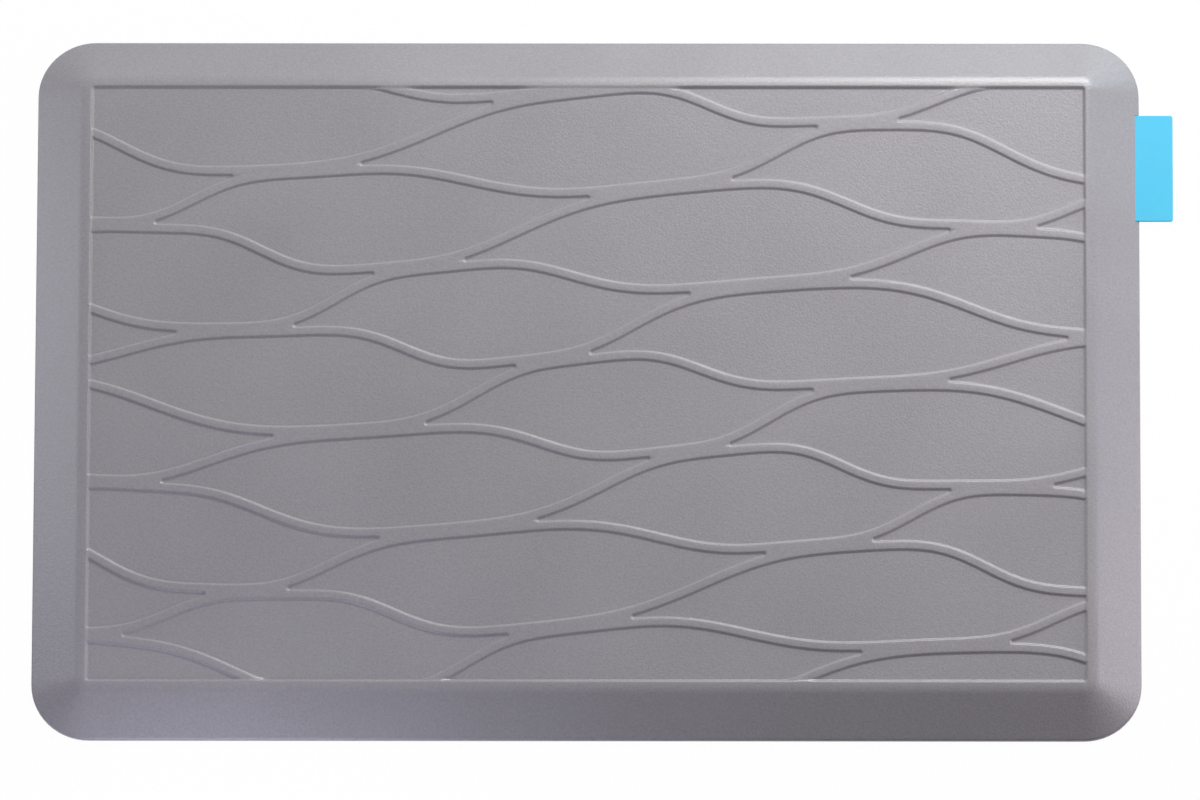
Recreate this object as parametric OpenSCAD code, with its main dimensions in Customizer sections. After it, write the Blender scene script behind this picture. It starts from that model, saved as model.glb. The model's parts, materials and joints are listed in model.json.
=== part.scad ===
// Standing mat: a moulded skin over a foam core, closed below by a grip sheet, with a soft tag at its edge.
// The origin is on the floor under the middle of the mat. +X runs along the mat, +Y to its back, +Z up.

/* [Mat] */
// Length of the mat, along X
mat_l = 762; // [500:1:1200]
// Width of the mat, along Y
mat_w = 508; // [350:1:900]
// Height of the crest of the rim above the floor
crest_h = 19; // [16:0.5:30]

/* [Rim] */
// Width of the rim, from the edge of the mat to the recess
rim_w = 38; // [30:0.5:60]
// Height of the upright edge at the foot of the slope
edge_h = 2; // [1:0.1:4]
// Radius between the upright edge and the slope
edge_r = 2; // [1:0.1:4]
// Width of the crest, which falls gently outwards from the recess
crest_w = 4; // [2:0.1:8]
// Radius across the crest
crest_r = 25; // [20:1:80]
// Radius between the crest and the slope
shoulder_r = 18; // [3:0.5:18]
// Radius on the inner edge of the crest
lip_r = 0.6; // [0.2:0.1:2]

/* [Recess and ribs] */
// Radius of the corners of the recess, in plan
recess_r = 2; // [1:0.5:20]
// Step from the crest down to the tops of the ribs
lip_drop = 0.45; // [0.3:0.05:2]
// Height of the ribs above the floor of the recess
rib_h = 1.3; // [0.4:0.1:2]
// Width of a rib
rib_w = 6.2; // [3:0.1:10]
// Distance between the mean lines of neighbouring ribs
rib_pitch = 38; // [25:1:60]
// Distance between the middles of two ribs where they run together
rib_join = 4; // [2:0.1:6]
// Length of one wave of a rib
wave_l = 380; // [200:5:700]
// Width of the round tips of the pockets between the ribs
tip_w = 2.8; // [1:0.1:5]

/* [Layers] */
// Thickness of the skin
skin_t = 2; // [1:0.1:3]
// Thickness of the grip sheet
base_t = 2.5; // [1.5:0.1:3]
// Width of the skin's foot, from the edge of the mat to the grip sheet
foot_w = 7; // [6:0.5:12]
// Gap for the bond between the core or the grip sheet and the skin
bond_gap = 0.2; // [0.1:0.05:0.5]

/* [Grip cells] */
// Width across the corners of a grip cell in the underside
cell_w = 30; // [10:1:36]
// Distance between the middles of neighbouring grip cells
cell_pitch = 46; // [38:1:70]
// Depth of a grip cell
cell_d = 0.8; // [0.3:0.1:1.2]
// Width of the plain border round the grip cells
cell_border = 10; // [5:1:40]

/* [Tag] */
// Length of the tag along the edge of the mat
tag_l = 77.5; // [40:0.5:120]
// How far the tag reaches past the edge of the mat
tag_reach = 23.3; // [10:0.1:40]
// Thickness of the tag
tag_t = 1.8; // [1.2:0.1:2.4]
// Distance from the end of the mat's corner curve to the near end of the tag
tag_offset = 13.5; // [2:0.5:80]
// Radius of the free corners of the tag
tag_r = 1.8; // [0.5:0.1:6]
// Depth of the tag's tongue, from the edge of the mat
tongue_depth = 20; // [12:0.5:35]
// Clearance round the tag in its slot, and along the line where it bends
tag_gap = 0.3; // [0.2:0.05:0.5]

/* [Hidden] */
$fn = 64;
over = 1; // how far a cutter runs past the face that it cuts

skin_grey = "#98949a";
foam_grey = "#6f6d72";
grip_grey = "#5d5b60";
tag_blue = "#48bee4";

// Levels
rib_top = crest_h - lip_drop;
recess_floor = rib_top - rib_h;
ceiling = recess_floor - skin_t;

// Plan sizes
corner_r = rim_w + recess_r;
recess_l = mat_l - 2 * rim_w;
recess_w = mat_w - 2 * rim_w;

// Section of the rim, in depth from the mat's edge and height. The crest's arc is level at the lip and
// runs into the shoulder's arc. The slope is the line that touches the shoulder's arc and the edge's arc.
lip_round = min(lip_r, lip_drop / 2);
crest_angle = 90 + asin(crest_w / crest_r);
crest_mid = [rim_w - lip_round, crest_h - crest_r];
shoulder_mid = crest_mid + (crest_r - shoulder_r) * [cos(crest_angle), sin(crest_angle)];
edge_mid = [edge_r, edge_h];
foot_line = shoulder_mid - edge_mid;
slope_angle = atan2(foot_line[1], foot_line[0]) + acos((edge_r - shoulder_r) / norm(foot_line));
slope_normal = [cos(slope_angle), sin(slope_angle)];
slope_level = slope_normal * edge_mid + edge_r;

// Ribs: a net of waves that swing against each other, stretched and bent by slower waves
swing = (rib_pitch - rib_join) / 2;
stretch = 0.05 * wave_l;
stretch_l = 1.35 * wave_l;
drift = 0.5 * rib_pitch;
drift_l = 2.6 * wave_l;
stretch_turn = 55;
wave_turn = 40;
drift_turn = 3;
rib_reach = ceil((recess_w / 2 + drift + swing + rib_w) / rib_pitch);
rib_step = 10;
stations = ceil(recess_l / rib_step);

// Tag: it lies on the grip sheet and bends where the slot opens
tag_top = base_t + tag_t;
tag_mid_z = base_t + tag_t / 2;
tag_mid_y = mat_w / 2 - corner_r - tag_offset - tag_l / 2;
slot_top = tag_top + tag_gap;
bend_depth = slope_depth(slot_top, 0) - tag_t / 2 - tag_gap;
bend_x = mat_l / 2 - bend_depth;

// Points of an arc. It leaves out the first point where it runs on from another arc.
function arc(mid, r, from, to, steps, first = 0) =
    [for (i = [first:steps]) let (a = from + (to - from) * i / steps) mid + r * [cos(a), sin(a)]];

// Depth at height z, or height at depth u, of the slope moved in by an inset square to it
function slope_depth(z, inset) = (slope_level - inset - slope_normal[1] * z) / slope_normal[0];
function slope_height(u, inset) = (slope_level - inset - slope_normal[0] * u) / slope_normal[1];

// Middle line of rib n at x, and half of its width along Y, which grows where the rib runs aslant
function wave_angle(n, x) =
    360 * (x + stretch * sin(360 * x / stretch_l + stretch_turn * n)) / wave_l + wave_turn * n;
function rib_y(n, x) =
    n * rib_pitch
    + (n % 2 == 0 ? swing : -swing) * sin(90 * cos(wave_angle(n, x)))
    + drift * sin(360 * x / drift_l + drift_turn * n);
function rib_half(n, x) = rib_w / 2 * norm([1, (rib_y(n, x + 1) - rib_y(n, x - 1)) / 2]);

// Pocket n lies between ribs n and n + 1. It opens and closes where the two part and meet.
function station_x(i) = -recess_l / 2 + recess_l * i / stations;
function in_recess(y) = max(-recess_w / 2, min(recess_w / 2, y));
function pocket_low(n, x) = in_recess(rib_y(n, x) + rib_half(n, x));
function pocket_high(n, x) = in_recess(rib_y(n + 1, x) - rib_half(n + 1, x));
function pocket_width(n, x) = pocket_high(n, x) - pocket_low(n, x);
function pocket_open(n, i) = i >= 0 && i <= stations && pocket_width(n, station_x(i)) > 1.1 * tip_w;
function pocket_runs(n) =
    [for (i = [0:stations]) if (pocket_open(n, i) && !pocket_open(n, i - 1))
        [i, min([for (j = [i:stations]) if (!pocket_open(n, j + 1)) j])]];

// Round tip of pocket n, on the way from its last open station i to the shut one beside it
function pocket_tip(n, i, step) =
    let (
        room = pocket_width(n, station_x(i)),
        share = min(1, (room - tip_w) / (room - pocket_width(n, station_x(i + step)))),
        x = station_x(i + step * share),
        mid = [x, (pocket_low(n, x) + pocket_high(n, x)) / 2]
    )
    arc(mid, tip_w / 2, -90 * step, -90 * step + 180, 4);
function pocket_outline(n, run) = concat(
    run[0] > 0 ? pocket_tip(n, run[0], -1) : [],
    [for (i = [run[0]:run[1]]) [station_x(i), pocket_low(n, station_x(i))]],
    run[1] < stations ? pocket_tip(n, run[1], 1) : [],
    [for (i = [run[1]:-1:run[0]]) [station_x(i), pocket_high(n, station_x(i))]]
);

// Outer section of the rim, from its foot to the recess
function rim_section() = concat(
    [[corner_r, 0], [0, 0]],
    arc(edge_mid, edge_r, 180, slope_angle, 4),
    arc(shoulder_mid, shoulder_r, slope_angle, crest_angle, 4),
    arc(crest_mid, crest_r, crest_angle, 90, 4, first = 1),
    arc([rim_w - lip_round, crest_h - lip_round], lip_round, 90, 0, 3, first = 1),
    [[rim_w, rib_top], [corner_r, rib_top]]
);

// Section of the hollow under the skin, or of the core in it, moved in by a gap
function core_section(low, gap) = [
    [corner_r, low],
    [foot_w + gap, low],
    [foot_w + gap, slope_height(foot_w + gap, skin_t + gap)],
    [slope_depth(ceiling - gap, skin_t + gap), ceiling - gap],
    [corner_r, ceiling - gap]
];

// True where a whole grip cell lies inside the plain border
function cell_fits(x, y) =
    let (
        dx = max(0, abs(x) - mat_l / 2 + corner_r),
        dy = max(0, abs(y) - mat_w / 2 + corner_r)
    )
    norm([dx, dy]) + cell_w / 2 + cell_border + foot_w < corner_r;

// A section swept round the mat, with the middle filled between two heights. Its points are rounded to a
// ten-thousandth of a millimetre, so that the sides and the corners meet without slivers.
module swept(section, low, high) {
    side_l = mat_l - 2 * corner_r;
    side_w = mat_w - 2 * corner_r;
    outline = [for (p = section) [round(10000 * p[0]), round(10000 * p[1])] / 10000];
    for (turn = [0, 180]) rotate(turn) {
        swept_side(outline, side_l, mat_w / 2);
        rotate(90) swept_side(outline, side_w, mat_l / 2);
        swept_corner(outline, side_l / 2, side_w / 2, 0);
        swept_corner(outline, -side_l / 2, side_w / 2, 90);
    }
    translate([-side_l / 2, -side_w / 2, low]) cube([side_l, side_w, high - low]);
}

module swept_side(section, length, edge_y) {
    translate([-length / 2, edge_y, 0]) rotate([90, 0, 90])
        linear_extrude(length) polygon([for (p = section) [-p[0], p[1]]]);
}

module swept_corner(section, x, y, turn) {
    translate([x, y, 0]) rotate(turn)
        rotate_extrude(angle = 90) polygon([for (p = section) [corner_r - p[0], p[1]]]);
}

// A plate with round corners, inset from the edge of the mat
module plate(inset, low, high) {
    r = corner_r - inset;
    x = mat_l / 2 - corner_r;
    y = mat_w / 2 - corner_r;
    translate([0, 0, low]) linear_extrude(high - low) {
        square([2 * x, 2 * (y + r)], center = true);
        square([2 * (x + r), 2 * y], center = true);
        for (sx = [-1, 1], sy = [-1, 1]) translate([sx * x, sy * y]) circle(r);
    }
}

// Pockets between the ribs
module pockets() {
    intersection() {
        plate(rim_w, recess_floor, rib_top + over);
        for (n = [-rib_reach:rib_reach - 1], run = pocket_runs(n))
            translate([0, 0, recess_floor]) linear_extrude(rib_h + over) polygon(pocket_outline(n, run));
    }
}

// A block at the right edge of the mat as long as the tag, with a margin at both ends
module tag_block(from_depth, to_depth, low, high, margin) {
    translate([mat_l / 2 - to_depth, tag_mid_y - tag_l / 2 - margin, low])
        cube([to_depth - from_depth, tag_l + 2 * margin, high - low]);
}

module top_skin() {
    slot_depth = max(foot_w, slope_depth(slot_top, skin_t));
    color(skin_grey) difference() {
        swept(rim_section(), 0, rib_top);
        swept(core_section(-over, 0), -over, ceiling);
        pockets();
        tag_block(-over, slot_depth + over, base_t - tag_gap, slot_top, tag_gap);
    }
}

module foam_core() {
    color(foam_grey) difference() {
        swept(core_section(base_t, bond_gap), base_t, ceiling - bond_gap);
        tag_block(0, tongue_depth + tag_gap, base_t - over, slot_top, tag_gap);
    }
}

module grip_sheet() {
    row_pitch = cell_pitch * sin(60);
    columns = ceil(mat_l / cell_pitch / 2);
    rows = ceil(mat_w / row_pitch / 2);
    color(grip_grey) difference() {
        plate(foot_w + bond_gap, 0, base_t);
        for (row = [-rows:rows], column = [-columns:columns])
            let (x = (column + (row % 2 == 0 ? 0.5 : 0)) * cell_pitch, y = (row + 0.5) * row_pitch)
                if (cell_fits(x, y)) translate([x, y, -over]) cylinder(h = cell_d + over, d = cell_w, $fn = 6);
    }
}

module tag_tongue() {
    color(tag_blue) tag_block(bend_depth + tag_t / 2 + tag_gap, tongue_depth, base_t, tag_top, 0);
}

module tag_flap() {
    free_x = mat_l / 2 + tag_reach - tag_r;
    color(tag_blue) translate([0, tag_mid_y, 0]) {
        translate([bend_x, tag_l / 2, tag_mid_z]) rotate([90, 0, 0]) cylinder(h = tag_l, d = tag_t);
        translate([0, 0, base_t]) linear_extrude(tag_t) {
            translate([bend_x, -tag_l / 2]) square([free_x - bend_x, tag_l]);
            translate([bend_x, tag_r - tag_l / 2]) square([free_x + tag_r - bend_x, tag_l - 2 * tag_r]);
            for (side = [-1, 1]) translate([free_x, side * (tag_l / 2 - tag_r)]) circle(tag_r);
        }
    }
}

top_skin();
foam_core();
grip_sheet();
tag_tongue();
tag_flap();
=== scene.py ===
"""Standing mat: a moulded skin over a foam core, closed below by a grip sheet, with a soft tag at its edge.

Everything is in metres in the CAD model's own frame: +X along the mat, +Y to its back, +Z up from the floor.
"""

import json
import math

import bmesh
import bpy
import numpy as np
from mathutils import Matrix, Vector


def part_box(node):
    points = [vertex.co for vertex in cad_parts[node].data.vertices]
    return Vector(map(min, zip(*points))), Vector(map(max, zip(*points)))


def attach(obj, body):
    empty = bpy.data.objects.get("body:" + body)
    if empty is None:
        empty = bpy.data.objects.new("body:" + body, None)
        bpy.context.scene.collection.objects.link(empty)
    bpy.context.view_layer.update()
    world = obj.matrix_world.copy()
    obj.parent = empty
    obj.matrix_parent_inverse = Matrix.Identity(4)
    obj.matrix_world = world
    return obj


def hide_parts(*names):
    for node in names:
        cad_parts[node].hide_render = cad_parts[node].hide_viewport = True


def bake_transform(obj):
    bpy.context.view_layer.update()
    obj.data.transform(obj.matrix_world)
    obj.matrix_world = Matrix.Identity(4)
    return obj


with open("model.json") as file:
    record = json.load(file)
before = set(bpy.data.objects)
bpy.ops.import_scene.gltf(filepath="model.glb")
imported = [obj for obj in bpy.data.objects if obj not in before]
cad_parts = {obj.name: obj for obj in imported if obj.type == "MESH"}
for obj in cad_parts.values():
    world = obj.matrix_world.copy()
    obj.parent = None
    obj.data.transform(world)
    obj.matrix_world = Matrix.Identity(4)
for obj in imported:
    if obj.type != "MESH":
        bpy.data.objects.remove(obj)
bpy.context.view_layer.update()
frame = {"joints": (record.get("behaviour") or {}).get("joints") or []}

bl_info = {
    "name": "Standing mat",
    "version": (1, 0, 0),
    "blender": (4, 5, 0),
    "location": "3D View > Sidebar > Standing mat",
    "description": "Models a cushioned standing mat with its skin, core, grip sheet, tag and a plain stage",
    "category": "Object",
}

MM = 0.001
HAIR = 0.01 * MM  # places nearer than this are the same place
SKIN_LOW, SKIN_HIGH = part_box("top_skin")
TONGUE_LOW, TONGUE_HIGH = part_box("tag_tongue")
FLAP_LOW, FLAP_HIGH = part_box("tag_flap")
BEND = Vector(frame["joints"][0]["pos_m"])  # where the tag bends, at the mouth of its slot

# The ribs' pattern. Each wave drifts to and fro along the mat and sways with its neighbours. Lengths are in
# waves, and phases are from one rib to the next.
DRIFT_SHARE, DRIFT_LENGTH, DRIFT_PHASE = 0.05, 1.35, math.radians(55)
SWAY_LENGTH, SWAY_PHASE = 2.6, math.radians(3)
WAVE_PHASE = math.radians(40)

# The grid of the recess: the columns' step, rows down a rib's side as shares of its run, rows on a pocket's
# floor as shares of its width, rings round a corner, how far the rows keep from the corners, and which edges
# are too short to keep.
COLUMN_STEP = 3.0 * MM
SIDE_ROWS = (-0.5, -0.3, -0.1, 0.1, 0.3, 0.5)
FLOOR_ROWS = (1 / 3, 2 / 3)
CORNER_RINGS = 8
ROW_CLEARANCE = 0.4 * MM
MERGE_BELOW, DISSOLVE_BELOW = 0.02 * MM, 0.005 * MM

# The tips of the pockets: how far past the recess and how finely they are looked for, and how far round them
# and by how many cuts the grid is refined.
TIP_MARGIN, TIP_STEP = 20 * MM, 0.2 * MM
TIP_REACH_X, TIP_REACH_Y, TIP_CUTS = 3.2 * MM, 2.4 * MM, 4

# The rim's section: rings up the recess's wall, steps of the arcs, rows down the slope, a ring on the upright
# edge, the rounding of the foot with its middle, and how far the knee inside lies under the slope.
WALL_RINGS, CREST_STEPS, SHOULDER_STEPS, EDGE_STEPS = 8, 4, 6, 6
SLOPE_ROWS = (0.06, 0.3, 0.6, 0.85, 1)
EDGE_RING, FOOT_ROUND, FOOT_MIDDLE = 1.2 * MM, 0.45 * MM, 0.13 * MM
KNEE_DROP = 0.1 * MM

# The tag's slot: how far apart vertices of one line across the rim can lie, and how much a face at its mouth
# looks sideways.
STATION_WIDTH, SIDEWAYS = 0.002 * MM, 0.3

# The notch for the tongue in the foam: how far it starts under the tongue, and how far it runs on past it.
NOTCH_UNDER, NOTCH_PAST = 1 * MM, 25 * MM

# Small roundings of the other pieces, and the cuts across the tag, counted from the bend.
FOAM_ROUND = 0.6 * MM
CELL_ROUND, CELL_DRAFT, CELL_STEPS = 0.35 * MM, 0.3 * MM, (0.3, 0.6, 1.0)
TAG_ROUND = 0.45 * MM
TAG_CUTS, TAG_CUT_STEP = range(-6, 25), 0.3 * MM

# The middle of a noise, where most of its values lie.
NOISE_LOW, NOISE_HIGH = 0.3, 0.7

# The floor's side, how far it lies under the mat, and how much of its white is its own, so that lamps near it
# leave no bright patches. Then the world's light on things, and its white to the eye.
FLOOR_SIZE, FLOOR_DROP, FLOOR_GLOW = 60, 0.2 * MM, 0.98
WORLD_LIGHT, WORLD_WHITE = 0.02, 1.0

# Lamps: name, place, side in metres, power in watts and tint.
LAMPS = (
    ("back_lamp", (0.45, 1.3, 1.0), 0.6, 19.5, (1.0, 1.0, 0.97)),
    ("low_back_lamp", (0.8, 0.95, 0.7), 0.6, 4.2, (0.64, 0.95, 1.0)),
    ("high_lamp", (0.3, 0.8, 1.0), 0.6, 3.6, (1.0, 0.93, 0.88)),
    ("right_lamp", (1.0, -0.1, 0.3), 0.5, 3.25, (1.0, 0.92, 0.99)),
    ("left_lamp", (-0.85, 0.2, 0.25), 0.4, 1.5, (0.89, 0.91, 1.0)),
    ("corner_lamp", (-0.45, -0.5, 0.3), 0.3, 0.28, (0.84, 0.78, 1.0)),
    ("front_lamp", (-0.25, -0.5, 0.12), 0.25, 0.66, (0.82, 0.86, 1.0)),
)

# The camera, as fitted to the picture: what it looks at, its turns, its distance and its lens.
CAMERA_TARGET = Vector((8.74 * MM, -9.91 * MM, 10 * MM))
CAMERA_TILT, CAMERA_SWING, CAMERA_ROLL = math.radians(18.91), math.radians(-0.44), math.radians(-0.185)
CAMERA_DISTANCE, CAMERA_LENS, CAMERA_SENSOR, CAMERA_CLIP = 15.0, 653.2, 36, 100


def length(name, description, default):
    """A size in metres that the sidebar shows with its unit."""
    return bpy.props.FloatProperty(
        name=name, description=description, default=default, min=0,
        unit="LENGTH", subtype="DISTANCE", precision=5,
    )


def colour(name, description, default):
    """A colour as an sRGB hex value."""
    return bpy.props.StringProperty(name=name, description=description, default=default, maxlen=7)


class MatSizes(bpy.types.PropertyGroup):
    """Sizes of the mat, as in the CAD model."""

    mat_length: length("Mat length", "Length of the mat, along X", SKIN_HIGH.x - SKIN_LOW.x)
    mat_width: length("Mat width", "Width of the mat, along Y", SKIN_HIGH.y - SKIN_LOW.y)
    crest_height: length("Crest height", "Height of the crest of the rim above the floor", SKIN_HIGH.z)
    rim_width: length("Rim width", "From the edge of the mat to the recess", 38 * MM)
    edge_height: length("Edge height", "Height of the upright edge at the foot of the slope", 2 * MM)
    edge_radius: length("Edge radius", "Between the upright edge and the slope", 2 * MM)
    crest_width: length("Crest width", "Width of the crest, which falls gently outwards", 4 * MM)
    crest_radius: length("Crest radius", "Radius across the crest", 25 * MM)
    lip_radius: length("Lip radius", "From the recess's outline to where the crest is level", 0.225 * MM)
    shoulder_radius: length("Shoulder radius", "Between the crest and the slope", 18 * MM)
    recess_radius: length("Recess radius", "Radius of the recess's corners, in plan", 2 * MM)
    wall_run: length("Wall run", "How far the recess's wall leans out from its foot to the crest", 2.6 * MM)
    lip_drop: length("Lip drop", "Step from the crest down to the tops of the ribs", 0.45 * MM)
    rib_height: length("Rib height", "Height of the ribs above the recess's floor", 1.3 * MM)
    rib_width: length("Rib width", "Width of a rib", 6.2 * MM)
    rib_run: length("Rib run", "How far a rib's side leans from its top to the recess's floor", 2.4 * MM)
    tip_radius: length("Tip radius", "Radius of the tips of the pockets between the ribs", 1.4 * MM)
    rib_pitch: length("Rib pitch", "Between the mean lines of neighbouring ribs", 38 * MM)
    rib_join: length("Rib join", "Between the middles of two ribs where they run together", 4 * MM)
    wave_length: length("Wave length", "Length of one wave of a rib", 380 * MM)
    skin_thickness: length("Skin thickness", "Thickness of the skin", 2 * MM)
    foot_width: length("Foot width", "From the edge of the mat to the grip sheet", 7 * MM)
    cell_width: length("Cell width", "Across the corners of a grip cell in the underside", 30 * MM)
    cell_pitch: length("Cell pitch", "Between the middles of neighbouring grip cells", 46 * MM)
    cell_depth: length("Cell depth", "Depth of a grip cell", 0.8 * MM)
    cell_border: length("Cell border", "Plain border round the grip cells", 10 * MM)
    tag_radius: length("Tag radius", "Radius of the tag's free corners", 1.8 * MM)
    tag_gap: length("Tag gap", "Clearance round the tag in its slot", 0.3 * MM)


class MatColours(bpy.types.PropertyGroup):
    """Colours of the mat and its stage, as sRGB hex values."""

    skin: colour("Skin", "Warm mid grey of the moulded skin", "#98949A")
    foam: colour("Foam", "Grey of the foam core", "#6F6D72")
    grip: colour("Grip sheet", "Dark grey of the rubber underside", "#5D5B60")
    tag: colour("Tag", "Turquoise of the silicone tag", "#48BEE4")
    floor: colour("Floor", "White of the floor and the backdrop", "#F7F7F7")


def linear(hex_colour):
    """An sRGB hex value as a linear colour with alpha."""
    parts = [int(hex_colour[i : i + 2], 16) / 255 for i in (1, 3, 5)]
    return (*[c / 12.92 if c <= 0.04045 else ((c + 0.055) / 1.055) ** 2.4 for c in parts], 1)


def tone(hex_colour, factor):
    """A linear colour made lighter or darker."""
    return (*[min(1, c * factor) for c in linear(hex_colour)[:3]], 1)


def start_material(name):
    """A material with an empty node tree."""
    material = bpy.data.materials.new(name)
    material.use_nodes = True
    tree = material.node_tree
    tree.nodes.clear()
    return material, tree


def add_node(tree, kind, settings=(), **inputs):
    """Adds a node, sets its own settings, and sets or links its inputs by name or by number as _0, _1."""
    made = tree.nodes.new(kind)
    for name, value in dict(settings).items():
        setattr(made, name, value)
    for name, value in inputs.items():
        key = int(name[1:]) if name[0] == "_" else name.replace("_", " ")
        socket = made.inputs[key]
        if isinstance(value, bpy.types.NodeSocket):
            tree.links.new(value, socket)
        else:
            socket.default_value = value
    return made


def add_place(tree):
    """The place on the object, in metres."""
    return add_node(tree, "ShaderNodeTexCoord").outputs["Object"]


def add_noise(tree, place, size, detail, roughness):
    """Noise with blotches of a real size."""
    noise = add_node(
        tree, "ShaderNodeTexNoise", Vector=place, Scale=1 / size, Detail=detail, Roughness=roughness
    )
    return noise.outputs["Fac"]


def add_mix(tree, share, first, second, blend="MIX"):
    """A colour blended from two others."""
    mix = add_node(
        tree, "ShaderNodeMix", {"data_type": "RGBA", "blend_type": blend}, _0=share, _6=first, _7=second
    )
    return mix.outputs[2]


def add_range(tree, value, low, high, start=NOISE_LOW, end=NOISE_HIGH):
    """A value between start and end, spread from low to high."""
    spread = add_node(
        tree, "ShaderNodeMapRange", Value=value, From_Min=start, From_Max=end, To_Min=low, To_Max=high
    )
    return spread.outputs["Result"]


def add_surface(tree, tint, roughness, ior, relief, strength, depth):
    """The shader of a plain, non-metallic surface with a fine relief, and the material's output."""
    bump = add_node(tree, "ShaderNodeBump", Strength=strength, Distance=depth, Height=relief)
    shader = add_node(
        tree, "ShaderNodeBsdfPrincipled",
        Base_Color=tint, Roughness=roughness, IOR=ior, Normal=bump.outputs["Normal"],
    )
    add_node(tree, "ShaderNodeOutputMaterial", Surface=shader.outputs["BSDF"])


def add_seen(tree):
    """1 for rays from the eye, also by way of a shine or through glass, and 0 for rays that carry light."""
    path = add_node(tree, "ShaderNodeLightPath")
    seen = path.outputs["Is Camera Ray"]
    for ray in ("Is Glossy Ray", "Is Transmission Ray"):
        both = add_node(tree, "ShaderNodeMath", {"operation": "MAXIMUM"}, _0=seen, _1=path.outputs[ray])
        seen = both.outputs["Value"]
    return seen


def skin_material(hex_colour):
    """Polyurethane, moulded against a finely sandblasted tool."""
    material, tree = start_material("polyurethane moulded fine grain")
    place = add_place(tree)
    # The blasted tool leaves a close stipple of about 1.6 mm, which gives the eye a soft, dry grain.
    grain = add_noise(tree, place, 1.6 * MM, detail=3.0, roughness=0.6)
    # Slow mottling, a hand's width across, where the mould's release agent lay a little unevenly.
    mottle = add_noise(tree, place, 90 * MM, detail=1.0, roughness=0.5)
    speckle = add_mix(tree, grain, tone(hex_colour, 0.78), tone(hex_colour, 1.22))
    shade = add_mix(tree, 1.0, speckle, add_range(tree, mottle, 0.97, 1.03), "MULTIPLY")
    polish = add_range(tree, mottle, 0.28, 0.32)
    add_surface(tree, shade, polish, ior=1.5, relief=grain, strength=0.6, depth=0.3 * MM)
    return material


def foam_material(hex_colour):
    """Polyurethane foam, cast and left with its open cells."""
    material, tree = start_material("polyurethane foam cast open cell")
    # Cut cells about 1.2 mm wide make the surface a dense sponge, and their hollows are painted darker as
    # painted shade.
    cells = add_node(tree, "ShaderNodeTexVoronoi", Vector=add_place(tree), Scale=1 / (1.2 * MM))
    depth = cells.outputs["Distance"]
    # Painted shade: the colour goes darker towards the hollow middle of each cell.
    shade = add_range(tree, depth, 0.0, 1.0, start=0.0, end=0.7)
    tint = add_mix(tree, shade, tone(hex_colour, 0.6), tone(hex_colour, 1.15))
    add_surface(tree, tint, 0.95, ior=1.45, relief=depth, strength=0.7, depth=0.4 * MM)
    return material


def grip_material(hex_colour):
    """Rubber sheet, press moulded with a pebbled face that grips the floor."""
    material, tree = start_material("rubber press moulded pebbled")
    place = add_place(tree)
    # Pebbles about 2 mm wide catch the light as a fine, dull leather-like grain.
    pebbles = add_node(
        tree, "ShaderNodeTexVoronoi", {"feature": "SMOOTH_F1"},
        Vector=place, Scale=1 / (2.0 * MM), Smoothness=0.6,
    )
    # Rubber blooms to a paler, chalky tone in patches.
    bloom = add_noise(tree, place, 45 * MM, detail=4.0, roughness=0.6)
    tint = add_mix(tree, bloom, tone(hex_colour, 0.85), tone(hex_colour, 1.18))
    dull = add_range(tree, bloom, 0.62, 0.8)
    add_surface(tree, tint, dull, ior=1.52, relief=pebbles.outputs["Distance"], strength=0.4, depth=0.25 * MM)
    return material


def tag_material(hex_colour):
    """Silicone, moulded with a satin face."""
    material, tree = start_material("silicone moulded satin")
    place = add_place(tree)
    # Light sinks a little way into silicone, so its colour looks even and faintly milky.
    haze = add_noise(tree, place, 12 * MM, detail=3.0, roughness=0.5)
    tint = add_mix(tree, haze, tone(hex_colour, 0.96), tone(hex_colour, 1.04))
    # Eroded tool steel leaves a satin of about 0.8 mm.
    satin = add_noise(tree, place, 0.8 * MM, detail=2.0, roughness=0.5)
    gloss = add_range(tree, haze, 0.46, 0.56)
    add_surface(tree, tint, gloss, ior=1.43, relief=satin, strength=0.25, depth=0.08 * MM)
    return material


def floor_material(hex_colour):
    """Painted studio floor, matt, which the eye sees as white with a trace of the light on it."""
    material, tree = start_material("studio paint matt white")
    paint = add_node(tree, "ShaderNodeBsdfDiffuse", Color=linear(hex_colour))
    glow = add_node(tree, "ShaderNodeEmission", Color=(1, 1, 1, 1), Strength=1.0)
    share = add_node(tree, "ShaderNodeMath", {"operation": "MULTIPLY"}, _0=add_seen(tree), _1=FLOOR_GLOW)
    both = add_node(
        tree, "ShaderNodeMixShader",
        _0=share.outputs["Value"], _1=paint.outputs["BSDF"], _2=glow.outputs["Emission"],
    )
    add_node(tree, "ShaderNodeOutputMaterial", Surface=both.outputs["Shader"])
    return material


def deselect():
    """Leaves edit mode and selects nothing."""
    if bpy.context.object and bpy.context.object.mode != "OBJECT":
        bpy.ops.object.mode_set(mode="OBJECT")
    bpy.ops.object.select_all(action="DESELECT")


def finish_piece(piece, name, material, angle):
    """Names a modelled piece, puts its place into its mesh, smooths it and gives it its material."""
    bpy.ops.object.mode_set(mode="OBJECT")
    piece.name = piece.data.name = name
    bpy.ops.object.transform_apply(location=True, rotation=True, scale=True)
    bpy.ops.object.shade_smooth_by_angle(angle=math.radians(angle))
    bpy.ops.object.modifier_add(type="WEIGHTED_NORMAL")
    piece.modifiers[-1].keep_sharp = True
    bpy.ops.object.modifier_apply(modifier=piece.modifiers[-1].name)
    piece.data.materials.clear()
    piece.data.materials.append(material)


def edit_mesh(piece):
    """The edit mesh of a piece, with its vertices ready to be counted through."""
    mesh = bmesh.from_edit_mesh(piece.data)
    mesh.verts.ensure_lookup_table()
    return mesh


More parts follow.
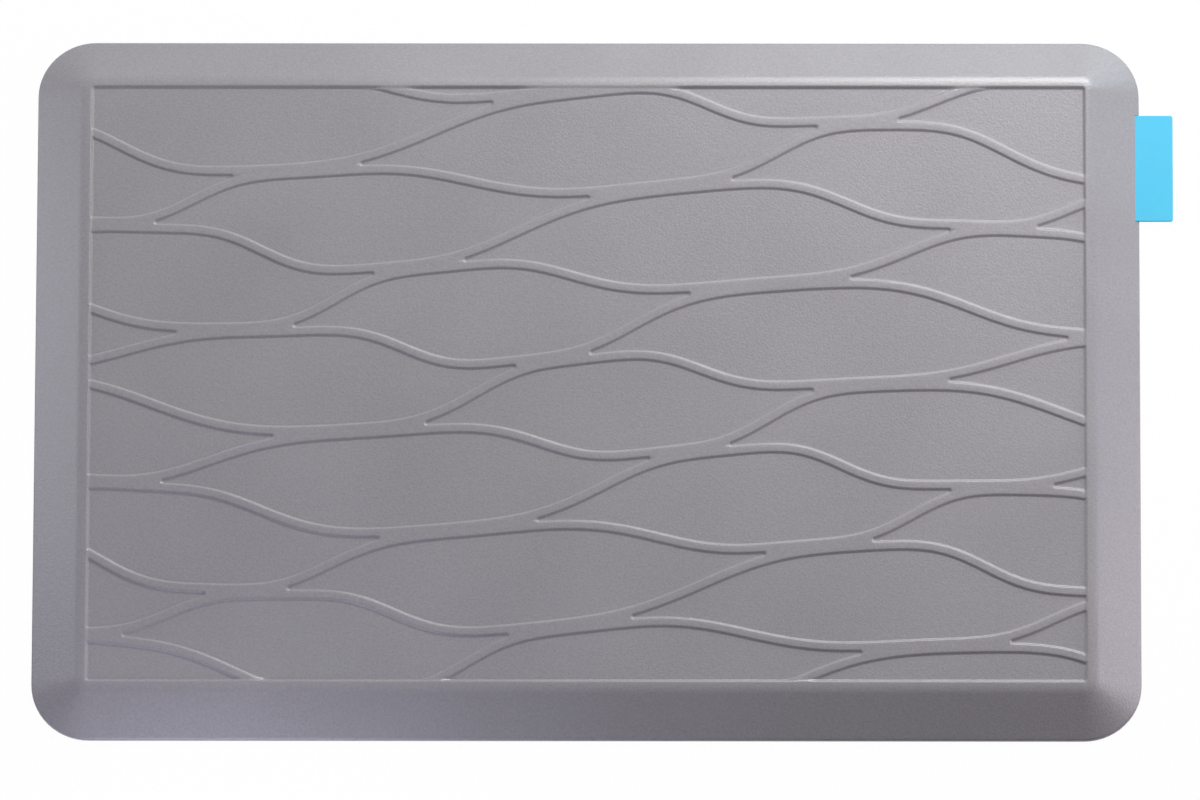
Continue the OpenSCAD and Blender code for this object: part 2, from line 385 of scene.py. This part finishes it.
def pick(piece, kind, test):
    """Selects only the vertices, edges or faces of a piece for which the test on their middle holds."""
    bpy.ops.mesh.select_mode(type=kind)
    bpy.ops.mesh.select_all(action="DESELECT")
    mesh = edit_mesh(piece)
    items = {"VERT": mesh.verts, "EDGE": mesh.edges, "FACE": mesh.faces}[kind]
    count = 0
    for item in items:
        corners = [item] if kind == "VERT" else item.verts
        if test(sum((v.co for v in corners), Vector()) / len(corners), item):
            item.select_set(True)
            count += 1
    mesh.select_flush_mode()
    bmesh.update_edit_mesh(piece.data)
    if not count:
        raise RuntimeError(f"nothing was found to select on {piece.name}")


def pick_open_edges():
    """Selects only the edges that have a face on one side."""
    bpy.ops.mesh.select_mode(type="EDGE")
    bpy.ops.mesh.select_all(action="DESELECT")
    bpy.ops.mesh.select_non_manifold(
        use_wire=False, use_boundary=True, use_multi_face=False, use_non_contiguous=False, use_verts=False
    )


def draw_ring(piece, corner_x, corner_y, place):
    """Extrudes the selected outline. Each new point goes to the radius, from the nearest corner's middle, and
    the height that place gives for its old height."""
    bpy.ops.mesh.extrude_region_move()
    mesh = edit_mesh(piece)
    for vertex in mesh.verts:
        if vertex.select:
            x = max(-corner_x, min(corner_x, vertex.co.x))
            y = max(-corner_y, min(corner_y, vertex.co.y))
            way = Vector((vertex.co.x - x, vertex.co.y - y)).normalized()
            radius, height = place(vertex.co.z)
            vertex.co = (x + way.x * radius, y + way.y * radius, height)
    bmesh.update_edit_mesh(piece.data)


def corner_middle(sizes):
    """The radius of the mat's corners, and the x and y of the middle of its corner at the back right."""
    radius = sizes.recess_radius + sizes.rim_width
    return radius, sizes.mat_length / 2 - radius, sizes.mat_width / 2 - radius


def read_places(piece):
    """The places of a piece's vertices, one row each."""
    places = np.zeros(len(piece.data.vertices) * 3)
    piece.data.vertices.foreach_get("co", places)
    return places.reshape(-1, 3)


def ramp(t):
    """Runs from 0 to 1 along two equal curves, a hollow one and then a round one."""
    t = np.clip(t, 0, 1)
    return np.where(t < 0.5, 2 * t**2, 1 - 2 * (1 - t) ** 2)


def rib_lines(sizes, x):
    """Middle lines of all ribs at the columns x, and half of each rib's width along Y."""
    pitch, wave = sizes.rib_pitch, sizes.wave_length
    swing = (pitch - sizes.rib_join) / 2
    recess_width = sizes.mat_width - 2 * sizes.rim_width
    reach = math.ceil((recess_width / 2 + pitch / 2 + swing + sizes.rib_width) / pitch)
    n = np.arange(-reach, reach + 1)[:, None]

    def middle(at):
        drifted = at + DRIFT_SHARE * wave * np.sin(math.tau * at / (DRIFT_LENGTH * wave) + DRIFT_PHASE * n)
        turn = math.tau * drifted / wave + WAVE_PHASE * n
        side = np.where(n % 2 == 0, swing, -swing)
        sway = pitch / 2 * np.sin(math.tau * at / (SWAY_LENGTH * wave) + SWAY_PHASE * n)
        return n * pitch + side * np.sin(math.pi / 2 * np.cos(turn)) + sway

    slope = (middle(x + MM) - middle(x - MM)) / (2 * MM)
    return middle(x), sizes.rib_width / 2 * np.sqrt(1 + slope**2)


def pocket_tips(sizes):
    """A fine line along the mat, where on it each pocket between two ribs is open, and the pocket's tips."""
    half_l = sizes.mat_length / 2 - sizes.rim_width
    line = np.arange(-half_l - TIP_MARGIN, half_l + TIP_MARGIN, TIP_STEP)
    middle, half = rib_lines(sizes, line[None, :])
    upright = sizes.rib_width / 2 / half
    low, high = (middle + half)[:-1], (middle - half)[1:]
    wide = (high - low) * np.minimum(upright[:-1], upright[1:]) >= 2 * sizes.tip_radius
    tips = []
    for n, row in enumerate(wide):
        ends = np.flatnonzero(np.diff(row.astype(int)))
        tips.append([(line[i], (low[n][i] + high[n][i]) / 2) for i in ends])
    return line, wide, tips


def recess_height(sizes, x, y):
    """Height of the recess's surface: the rib tops, and the pockets' floors, which end in round tips."""
    middle, half = rib_lines(sizes, x[None, :])
    upright = sizes.rib_width / 2 / half
    above_low = (y - (middle + half)[:-1]) * upright[:-1]
    below_high = ((middle - half)[1:] - y) * upright[1:]
    within = np.minimum(above_low, below_high)
    line, wide, tips = pocket_tips(sizes)
    for n, row in enumerate(wide):
        shut = np.interp(x, line, row.astype(float)) < 0.5
        rounded = np.full(x.shape, -np.inf)
        for tip in tips[n]:
            rounded = np.maximum(rounded, sizes.tip_radius - np.hypot(x - tip[0], y - tip[1]))
        within[n] = np.where(shut, rounded, within[n])
    depth = ramp((within.max(axis=0) + sizes.rib_run / 2) / sizes.rib_run)
    return sizes.crest_height - sizes.lip_drop - sizes.rib_height * depth


def recess_grid(sizes):
    """The x and y, rows by columns, of a grid whose rows follow the ribs over the whole recess."""
    half_l = sizes.mat_length / 2 - sizes.rim_width - sizes.wall_run / 2
    half_w = sizes.mat_width / 2 - sizes.rim_width - sizes.wall_run / 2
    corner = sizes.recess_radius - sizes.wall_run / 2
    zone = corner * np.linspace(0, 1, CORNER_RINGS)
    columns = round(2 * (half_l - corner) / COLUMN_STEP)
    inner = np.linspace(-half_l + corner, half_l - corner, columns + 1)[1:-1]
    x = np.concatenate([-half_l + corner - zone[::-1], inner, half_l - corner + zone])[None, :]
    middle, half = rib_lines(sizes, x)
    low, high = (middle + half)[:-1], (middle - half)[1:]
    pocket = (low + high) / 2
    lean = sizes.rib_run * half / (sizes.rib_width / 2)
    rows = []
    for n in range(len(pocket)):
        rise = [np.minimum(low[n] + side * lean[n], pocket[n]) for side in SIDE_ROWS]
        fall = [np.maximum(high[n] - side * lean[n + 1], pocket[n]) for side in reversed(SIDE_ROWS)]
        floor = [rise[-1] + share * (fall[0] - rise[-1]) for share in FLOOR_ROWS]
        rows += [middle[n], *rise, *floor, *fall]
    rows.append(middle[-1])
    limit = half_w - corner - ROW_CLEARANCE
    rows = np.clip(np.array(rows), -limit, limit)
    edge = np.ones_like(x)
    front = [(-half_w + corner - d) * edge for d in zone[::-1]]
    back = [(half_w - corner + d) * edge for d in zone]
    y = np.concatenate([*front, rows, *back])
    x = x * np.ones_like(y)
    # Within the corner's square the grid is bent from a square to a quarter of a disc.
    over_x, over_y = np.abs(x) - half_l + corner, np.abs(y) - half_w + corner
    inside = (over_x > 0) & (over_y > 0)
    a, b = np.where(inside, over_x, 1), np.where(inside, over_y, 1)
    far = np.maximum(a, b)
    turn = math.pi / 4 * np.minimum(a, b) / far
    turn = np.where(a >= b, turn, math.pi / 2 - turn)
    x_round = np.sign(x) * (half_l - corner + far * np.cos(turn))
    y_round = np.sign(y) * (half_w - corner + far * np.sin(turn))
    return np.where(inside, x_round, x), np.where(inside, y_round, y)


def arc(middle, radius, start, end, steps):
    """Points of an arc in the rim's section, without its first one."""
    angles = [math.radians(start + (end - start) * i / steps) for i in range(1, steps + 1)]
    return [(middle[0] + radius * math.cos(a), middle[1] + radius * math.sin(a)) for a in angles]


def rim_section(sizes):
    """The height of the recess wall's top, and the rim's section from there out, down, under the foot and up
    inside, as depths from the edge and heights."""
    crest_angle = 90 + math.degrees(math.asin(sizes.crest_width / sizes.crest_radius))
    crest = (sizes.rim_width - sizes.lip_radius, sizes.crest_height - sizes.crest_radius)
    crest_turn = math.radians(crest_angle)
    out = sizes.crest_radius - sizes.shoulder_radius
    shoulder = (crest[0] + out * math.cos(crest_turn), crest[1] + out * math.sin(crest_turn))
    edge = (sizes.edge_radius, sizes.edge_height)
    # The slope is the straight line that touches the shoulder's arc and the edge's arc.
    line = (shoulder[0] - edge[0], shoulder[1] - edge[1])
    slope_angle = math.degrees(
        math.atan2(line[1], line[0]) + math.acos((edge[0] - sizes.shoulder_radius) / math.hypot(*line))
    )
    turn = math.radians(slope_angle)
    level = math.cos(turn) * edge[0] + math.sin(turn) * edge[1] + sizes.edge_radius

    def slope_depth(z, inset):
        return (level - inset - math.sin(turn) * z) / math.cos(turn)

    # The wall's top is where the crest's arc is met.
    crest_start = 90 + math.degrees(math.asin((sizes.wall_run / 2 - sizes.lip_radius) / sizes.crest_radius))
    top = crest[1] + sizes.crest_radius * math.sin(math.radians(crest_start))
    points = arc(crest, sizes.crest_radius, crest_start, crest_angle, CREST_STEPS)
    points += arc(shoulder, sizes.shoulder_radius, crest_angle, slope_angle, SHOULDER_STEPS)
    slot_low, slot_top = TONGUE_LOW.z - sizes.tag_gap, TONGUE_HIGH.z + sizes.tag_gap
    slope_top = points[-1][1]
    for share in SLOPE_ROWS:
        z = slope_top + share * (slot_top - slope_top)
        points.append((slope_depth(z, 0), z))
    slot_angle = 180 - math.degrees(math.asin((slot_low - edge[1]) / sizes.edge_radius))
    radius = sizes.edge_radius
    points.append((edge[0] + radius * math.cos(turn), edge[1] + radius * math.sin(turn)))
    points += arc(edge, radius, slope_angle, slot_angle, EDGE_STEPS)
    points += [(0, EDGE_RING), (0, FOOT_ROUND), (FOOT_MIDDLE, FOOT_MIDDLE), (FOOT_ROUND, 0)]
    ceiling = sizes.crest_height - sizes.lip_drop - sizes.rib_height - sizes.skin_thickness
    knee = (level - sizes.skin_thickness - math.cos(turn) * sizes.foot_width) / math.sin(turn) - KNEE_DROP
    points += [(sizes.foot_width, z) for z in (0, slot_low, knee)]
    points.append((slope_depth(ceiling, sizes.skin_thickness), ceiling))
    return top, points


class MAT_OT_top_skin(bpy.types.Operator):
    """Models the moulded skin: the ribbed recess, the rim round it and the slot for the tag"""

    bl_idname = "standing_mat.top_skin"
    bl_label = "Top skin"

    def execute(self, context):
        sizes, colours = context.scene.mat_sizes, context.scene.mat_colours
        deselect()
        x, y = recess_grid(sizes)
        rows, columns = x.shape
        bpy.ops.mesh.primitive_grid_add(x_subdivisions=columns - 1, y_subdivisions=rows - 1, size=2)
        skin = context.object
        places = read_places(skin)
        column = np.rint((places[:, 0] + 1) / 2 * (columns - 1)).astype(int)
        row = np.rint((places[:, 1] + 1) / 2 * (rows - 1)).astype(int)
        places[:, 0], places[:, 1] = x[row, column], y[row, column]
        skin.data.vertices.foreach_set("co", places.ravel())
        bpy.ops.object.mode_set(mode="EDIT")
        bpy.ops.mesh.select_mode(type="VERT")
        bpy.ops.mesh.select_all(action="SELECT")
        bpy.ops.mesh.remove_doubles(threshold=MERGE_BELOW)
        bpy.ops.mesh.dissolve_degenerate(threshold=DISSOLVE_BELOW)
        self.refine_tips(skin, sizes)
        bpy.ops.object.mode_set(mode="OBJECT")
        places = read_places(skin)
        places[:, 2] = recess_height(sizes, places[:, 0], places[:, 1])
        skin.data.vertices.foreach_set("co", places.ravel())
        bpy.ops.object.mode_set(mode="EDIT")
        self.draw_rim(skin, sizes)
        self.cut_slot(skin, sizes)
        bpy.ops.mesh.select_all(action="SELECT")
        bpy.ops.mesh.normals_make_consistent(inside=False)
        # Faces with many corners are cut up, so that none of their triangles is a mere line.
        bpy.ops.mesh.select_mode(type="FACE")
        bpy.ops.mesh.select_all(action="DESELECT")
        bpy.ops.mesh.select_face_by_sides(number=4, type="GREATER")
        bpy.ops.mesh.quads_convert_to_tris(quad_method="BEAUTY", ngon_method="BEAUTY")
        finish_piece(skin, "moulded_skin", skin_material(colours.skin), angle=50)
        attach(skin, "mat")
        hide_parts("top_skin")
        return {"FINISHED"}

    def refine_tips(self, skin, sizes):
        """Cuts the grid finer along X round the tips of the pockets."""
        tips = [tip for row in pocket_tips(sizes)[2] for tip in row]

        def near_tip(place):
            return any(abs(place.x - x) < TIP_REACH_X and abs(place.y - y) < TIP_REACH_Y for x, y in tips)

        def along(edge):
            span = edge.verts[0].co - edge.verts[1].co
            return abs(span.x) > abs(span.y)

        pick(skin, "EDGE", lambda place, edge: along(edge) and near_tip(place))
        bpy.ops.mesh.subdivide(number_cuts=TIP_CUTS)

    def draw_rim(self, skin, sizes):
        """Draws the recess's outline out ring by ring, up its wall and along the rim's section."""
        pick_open_edges()
        top, section = rim_section(sizes)
        corner, corner_x, corner_y = corner_middle(sizes)
        foot = sizes.recess_radius - sizes.wall_run / 2
        before = 0.0
        for ring in range(1, WALL_RINGS + 1):
            share = ring / WALL_RINGS
            risen = float(ramp(share))
            part = (risen - before) / (1 - before)
            before = risen
            draw_ring(
                skin, corner_x, corner_y, lambda z: (foot + sizes.wall_run * share, z + (top - z) * part)
            )
        for depth, height in section:
            draw_ring(skin, corner_x, corner_y, lambda z: (corner - depth, height))
        bpy.ops.mesh.edge_face_add()

    def cut_slot(self, skin, sizes):
        """Opens the slot for the tag through the foot of the right-hand side."""
        gap = sizes.tag_gap
        ends = (TONGUE_LOW.y - gap, TONGUE_HIGH.y + gap)
        low, high = TONGUE_LOW.z - gap, TONGUE_HIGH.z + gap
        edge_x, foot_x = sizes.mat_length / 2, sizes.mat_length / 2 - sizes.foot_width
        mesh = edit_mesh(skin)
        # The two lines of vertices nearest to the slot's ends are moved there.
        stations = sorted({round(v.co.y, 6) for v in mesh.verts if abs(v.co.x - edge_x) < HAIR})
        near = [min(stations, key=lambda y: abs(y - end)) for end in ends]
        for vertex in mesh.verts:
            if vertex.co.x > foot_x - HAIR and vertex.co.z < high + HAIR:
                for end, station in zip(ends, near):
                    if abs(vertex.co.y - station) < STATION_WIDTH:
                        vertex.co.y = end
        bmesh.update_edit_mesh(skin.data)

        def in_mouth(place, face):
            at_edge = place.x > foot_x - HAIR and abs(face.normal.x) > SIDEWAYS
            return at_edge and ends[0] < place.y < ends[1] and low < place.z < high

        pick(skin, "FACE", in_mouth)
        bpy.ops.mesh.delete(type="FACE")
        pick_open_edges()
        bpy.ops.mesh.bridge_edge_loops()


def add_outline(name, half_l, half_w, radius, z):
    """Adds a flat face with round corners, of that size and height, and stays in edit mode."""
    deselect()
    bpy.ops.mesh.primitive_plane_add(size=2)
    piece = bpy.context.object
    piece.name = name
    bpy.ops.object.mode_set(mode="EDIT")
    bpy.ops.transform.resize(value=(half_l, half_w, 1))
    bpy.ops.transform.translate(value=(0, 0, z))
    bpy.ops.mesh.bevel(offset=radius, offset_type="OFFSET", segments=16, profile=0.5, affect="VERTICES")
    return piece


def add_block(low, high):
    """Adds a block between two corners."""
    deselect()
    bpy.ops.mesh.primitive_cube_add(size=1, location=(low + high) / 2, scale=high - low)
    bpy.ops.object.transform_apply(location=True, rotation=True, scale=True)
    return bpy.context.object


class MAT_OT_foam_core(bpy.types.Operator):
    """Models the foam core that fills the skin, with a notch for the tag's tongue"""

    bl_idname = "standing_mat.foam_core"
    bl_label = "Foam core"

    def execute(self, context):
        sizes, colours = context.scene.mat_sizes, context.scene.mat_colours
        low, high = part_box("foam_core")
        corner, corner_x, corner_y = corner_middle(sizes)
        radius = high.x - corner_x
        (_, knee), (top_depth, _) = rim_section(sizes)[1][-2:]
        top_radius = corner - top_depth
        core = add_outline("foam_filling", high.x, high.y, radius, low.z)
        pick_open_edges()
        draw_ring(core, corner_x, corner_y, lambda z: (radius, knee - FOAM_ROUND))
        draw_ring(core, corner_x, corner_y, lambda z: (radius - FOAM_ROUND / 2, knee))
        draw_ring(core, corner_x, corner_y, lambda z: (top_radius + FOAM_ROUND, high.z - FOAM_ROUND / 2))
        draw_ring(core, corner_x, corner_y, lambda z: (top_radius - FOAM_ROUND, high.z))
        bpy.ops.mesh.edge_face_add()
        bpy.ops.mesh.select_all(action="SELECT")
        bpy.ops.mesh.normals_make_consistent(inside=False)
        bpy.ops.object.mode_set(mode="OBJECT")
        self.cut_notch(core, sizes)
        finish_piece(core, "foam_filling", foam_material(colours.foam), angle=35)
        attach(core, "mat")
        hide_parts("foam_core")
        return {"FINISHED"}

    def cut_notch(self, core, sizes):
        """Cuts room for the tag's tongue, from under the core and out past its edge."""
        gap = Vector((1, 1, 1)) * sizes.tag_gap
        under, past = Vector((0, 0, NOTCH_UNDER)), Vector((NOTCH_PAST, 0, 0))
        notch = add_block(TONGUE_LOW - gap - under, TONGUE_HIGH + gap + past)
        deselect()
        core.select_set(True)
        bpy.context.view_layer.objects.active = core
        bpy.ops.object.modifier_add(type="BOOLEAN")
        core.modifiers[-1].object = notch
        bpy.ops.object.modifier_apply(modifier=core.modifiers[-1].name)
        bpy.data.objects.remove(notch)


class MAT_OT_grip_sheet(bpy.types.Operator):
    """Models the rubber grip sheet with its hollow cells"""

    bl_idname = "standing_mat.grip_sheet"
    bl_label = "Grip sheet"

    def execute(self, context):
        sizes, colours = context.scene.mat_sizes, context.scene.mat_colours
        low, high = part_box("grip_sheet")
        _, corner_x, corner_y = corner_middle(sizes)
        radius = high.x - corner_x
        sheet = add_outline("rubber_grip_sheet", high.x, high.y, radius, low.z)
        bpy.ops.mesh.delete(type="ONLY_FACE")
        cells = self.cell_places(sizes)
        for x, y in cells:
            bpy.ops.mesh.primitive_circle_add(
                vertices=6, radius=sizes.cell_width / 2 + CELL_ROUND, location=(x, y, low.z),
                rotation=(0, 0, math.radians(30)), fill_type="NOTHING",
            )
        bpy.ops.mesh.select_all(action="SELECT")
        bpy.ops.mesh.fill(use_beauty=True)
        # The rims of the cells are turned in over a small round edge, then their floors are closed.
        inner_x, inner_y = high.x - sizes.cell_border / 2, high.y - sizes.cell_border / 2

        def on_rim(place, edge):
            inside = abs(place.x) < inner_x and abs(place.y) < inner_y
            return edge.is_boundary and inside and self.nearest(cells, place)[1] < sizes.cell_width

        pick(sheet, "EDGE", on_rim)
        for share in CELL_STEPS:
            turn = share * math.pi / 2
            self.turn_in(sheet, cells, -CELL_ROUND * math.sin(turn), CELL_ROUND * (1 - math.cos(turn)))
        self.turn_in(sheet, cells, -CELL_DRAFT, sizes.cell_depth)
        bpy.ops.mesh.fill(use_beauty=True)
        pick_open_edges()
        draw_ring(sheet, corner_x, corner_y, lambda z: (radius, high.z))
        bpy.ops.mesh.edge_face_add()
        bpy.ops.mesh.select_all(action="SELECT")
        bpy.ops.mesh.normals_make_consistent(inside=False)
        finish_piece(sheet, "rubber_grip_sheet", grip_material(colours.grip), angle=40)
        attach(sheet, "mat")
        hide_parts("grip_sheet")
        return {"FINISHED"}

    def cell_places(self, sizes):
        """Middles of the grip cells, in staggered rows, where a whole cell lies inside the plain border."""
        pitch = sizes.cell_pitch
        corner, corner_x, corner_y = corner_middle(sizes)
        row_pitch = pitch * math.sin(math.radians(60))
        columns = math.ceil(sizes.mat_length / pitch / 2)
        rows = math.ceil(sizes.mat_width / row_pitch / 2)
        room = corner - sizes.cell_width / 2 - sizes.cell_border - sizes.foot_width
        places = []
        for row in range(-rows, rows + 1):
            shift = 0.5 if row % 2 == 0 else 0
            for column in range(-columns, columns + 1):
                x, y = (column + shift) * pitch, (row + 0.5) * row_pitch
                if math.hypot(max(0, abs(x) - corner_x), max(0, abs(y) - corner_y)) < room:
                    places.append((x, y))
        return places

    def nearest(self, cells, place):
        """The nearest cell's middle to a place, and how far it is."""
        cell = min(cells, key=lambda c: (c[0] - place.x) ** 2 + (c[1] - place.y) ** 2)
        return cell, math.hypot(cell[0] - place.x, cell[1] - place.y)

    def turn_in(self, sheet, cells, out, height):
        """Extrudes the selected rims of the cells to a height, and moves them away from their middles."""
        bpy.ops.mesh.extrude_region_move()
        mesh = edit_mesh(sheet)
        for vertex in mesh.verts:
            if vertex.select:
                (x, y), far = self.nearest(cells, vertex.co)
                share = (far + out) / far
                vertex.co = (x + (vertex.co.x - x) * share, y + (vertex.co.y - y) * share, height)
        bmesh.update_edit_mesh(sheet.data)


class MAT_OT_tag(bpy.types.Operator):
    """Models the soft tag, which is held in the slot, with cuts across it where it leaves the slot"""

    bl_idname = "standing_mat.tag"
    bl_label = "Tag"

    def execute(self, context):
        sizes, colours = context.scene.mat_sizes, context.scene.mat_colours
        low, high = Vector((TONGUE_LOW.x, FLAP_LOW.y, FLAP_LOW.z)), FLAP_HIGH
        tag = add_block(low, high)
        bpy.ops.object.mode_set(mode="EDIT")

        def upright(edge):
            return abs(edge.verts[0].co.z - edge.verts[1].co.z) > 0.5 * MM

        pick(tag, "EDGE", lambda place, edge: upright(edge) and place.x > high.x - MM)
        bpy.ops.mesh.bevel(
            offset=sizes.tag_radius, offset_type="OFFSET", segments=8, profile=0.5, affect="EDGES"
        )
        pick(tag, "EDGE", lambda place, edge: not upright(edge) and place.x > low.x + MM)
        bpy.ops.mesh.bevel(offset=TAG_ROUND, offset_type="OFFSET", segments=4, profile=0.5, affect="EDGES")
        # Cuts across the tag let it bend smoothly where it leaves the slot.
        for step in TAG_CUTS:
            bpy.ops.mesh.select_all(action="SELECT")
            bpy.ops.mesh.bisect(plane_co=(BEND.x + step * TAG_CUT_STEP, 0, 0), plane_no=(1, 0, 0))
        bpy.ops.mesh.select_all(action="SELECT")
        bpy.ops.mesh.normals_make_consistent(inside=False)
        finish_piece(tag, "silicone_tag", tag_material(colours.tag), angle=35)
        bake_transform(tag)
        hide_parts("tag_tongue", "tag_flap")
        return {"FINISHED"}


class MAT_OT_stage(bpy.types.Operator):
    """Adds the white floor, the soft studio light and the camera"""

    bl_idname = "standing_mat.stage"
    bl_label = "Stage"

    def execute(self, context):
        colours = context.scene.mat_colours
        deselect()
        bpy.ops.mesh.primitive_plane_add(size=FLOOR_SIZE, location=(0, 0, -FLOOR_DROP))
        floor = context.object
        finish_piece(floor, "studio_floor", floor_material(colours.floor), angle=30)
        self.light_world(context.scene)
        for lamp in LAMPS:
            self.add_lamp(*lamp)
        self.add_camera(context.scene)
        return {"FINISHED"}

    def light_world(self, scene):
        """A white backdrop to the eye, and a weak even light on the object."""
        world = bpy.data.worlds.new("studio_backdrop")
        scene.world = world
        world.use_nodes = True
        tree = world.node_tree
        tree.nodes.clear()
        strength = add_range(tree, add_seen(tree), WORLD_LIGHT, WORLD_WHITE, start=0.0, end=1.0)
        glow = add_node(tree, "ShaderNodeBackground", Color=(1, 1, 1, 1), Strength=strength)
        add_node(tree, "ShaderNodeOutputWorld", Surface=glow.outputs["Background"])

    def add_lamp(self, name, place, size, power, tint):
        """A soft square lamp that faces the middle of the mat and isn't seen itself."""
        deselect()
        bpy.ops.object.light_add(type="AREA", location=place)
        lamp = bpy.context.object
        lamp.name = lamp.data.name = name
        lamp.rotation_euler = (-Vector(place)).to_track_quat("-Z", "Y").to_euler()
        lamp.data.shape = "SQUARE"
        lamp.data.size = size
        lamp.data.energy = power
        lamp.data.color = tint
        lamp.visible_camera = False

    def add_camera(self, scene):
        """A long lens, tilted a little from straight above."""
        back = Vector((
            -math.sin(CAMERA_SWING) * math.cos(CAMERA_TILT),
            -math.sin(CAMERA_TILT),
            math.cos(CAMERA_TILT) * math.cos(CAMERA_SWING),
        )).normalized()
        right = (-back).cross(Vector((math.sin(CAMERA_ROLL), math.cos(CAMERA_ROLL), 0))).normalized()
        turned = Matrix((right, back.cross(right), back)).transposed().to_4x4()
        deselect()
        bpy.ops.object.camera_add()
        camera = bpy.context.object
        camera.name = camera.data.name = "camera"
        camera.matrix_world = Matrix.Translation(CAMERA_TARGET + back * CAMERA_DISTANCE) @ turned
        camera.data.sensor_width = CAMERA_SENSOR
        camera.data.lens = CAMERA_LENS
        camera.data.clip_end = CAMERA_CLIP
        scene.camera = camera
        scene.view_settings.view_transform = "Standard"


class MAT_PT_sidebar(bpy.types.Panel):
    """Lists the steps that make the mat, and its sizes and colours"""

    bl_idname = "MAT_PT_sidebar"
    bl_label = "Standing mat"
    bl_space_type = "VIEW_3D"
    bl_region_type = "UI"
    bl_category = "Standing mat"

    def draw(self, context):
        layout = self.layout
        for operator in OPERATORS:
            layout.operator(operator.bl_idname)
        for group in (context.scene.mat_sizes, context.scene.mat_colours):
            box = layout.box()
            for name in group.__annotations__:
                box.prop(group, name)


OPERATORS = (MAT_OT_top_skin, MAT_OT_foam_core, MAT_OT_grip_sheet, MAT_OT_tag, MAT_OT_stage)
CLASSES = (MatSizes, MatColours, *OPERATORS, MAT_PT_sidebar)


def register():
    for cls in CLASSES:
        bpy.utils.register_class(cls)
    bpy.types.Scene.mat_sizes = bpy.props.PointerProperty(type=MatSizes)
    bpy.types.Scene.mat_colours = bpy.props.PointerProperty(type=MatColours)


def unregister():
    del bpy.types.Scene.mat_colours
    del bpy.types.Scene.mat_sizes
    for cls in reversed(CLASSES):
        bpy.utils.unregister_class(cls)


def main():
    register()
    bpy.ops.standing_mat.top_skin()
    bpy.ops.standing_mat.foam_core()
    bpy.ops.standing_mat.grip_sheet()
    bpy.ops.standing_mat.tag()
    bpy.ops.standing_mat.stage()


if __name__ == "__main__":
    main()
